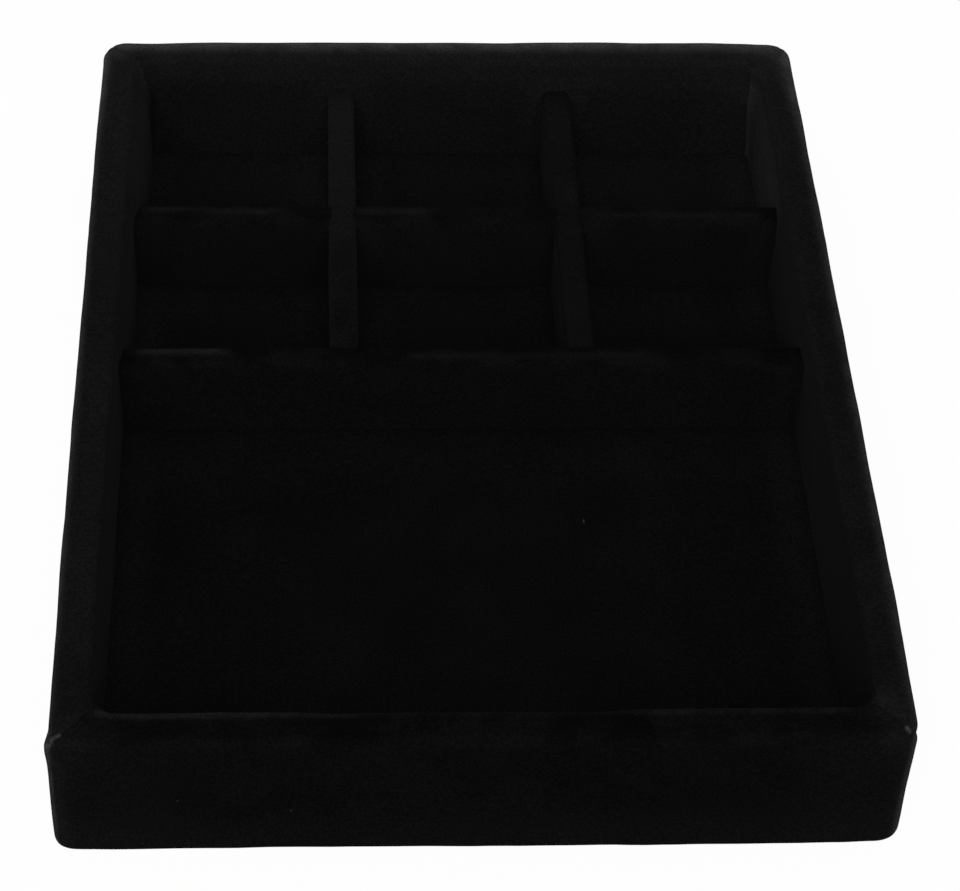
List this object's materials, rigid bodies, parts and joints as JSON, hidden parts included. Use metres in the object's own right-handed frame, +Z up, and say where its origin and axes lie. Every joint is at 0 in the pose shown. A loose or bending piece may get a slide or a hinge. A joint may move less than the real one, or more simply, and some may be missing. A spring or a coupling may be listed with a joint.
{
  "type": "jewelry display tray",
  "caption": "Low rectangular display tray covered in black velvet, with rounded raised walls, a grid of small compartments across the back and a wide compartment in front.",
  "frame": {"origin": "middle of the plane that the tray rests on, under the centre of its plan", "axes": "+Z up, +Y towards the end with the small compartments, +X to the right when the large compartment is nearest"},
  "size_m": [0.2, 0.26, 0.041],
  "materials": {
    "velvet": "black cut-pile velvet",
    "fibreboard": "raw fibreboard, sanded",
    "card": "grey bookbinding board",
    "felt": "thin black felt"
  },
  "bodies": {
    "root": {"velvet_wrap": "velvet", "back_cross_velvet": "velvet", "front_cross_velvet": "velvet", "left_long_velvet": "velvet", "right_long_velvet": "velvet", "pad_velvet_back_left": "velvet", "pad_velvet_back_centre": "velvet", "pad_velvet_back_right": "velvet", "pad_velvet_middle_left": "velvet", "pad_velvet_middle_centre": "velvet", "pad_velvet_middle_right": "velvet", "pad_velvet_front": "velvet", "base_board": "fibreboard", "front_wall": "fibreboard", "back_wall": "fibreboard", "left_wall": "fibreboard", "right_wall": "fibreboard", "back_cross_divider": "fibreboard", "front_cross_divider": "fibreboard", "left_long_divider": "fibreboard", "right_long_divider": "fibreboard", "pad_card_back_left": "card", "pad_card_back_centre": "card", "pad_card_back_right": "card", "pad_card_middle_left": "card", "pad_card_middle_centre": "card", "pad_card_middle_right": "card", "pad_card_front": "card", "bottom_sheet": "felt"}
  },
  "joints": []
}
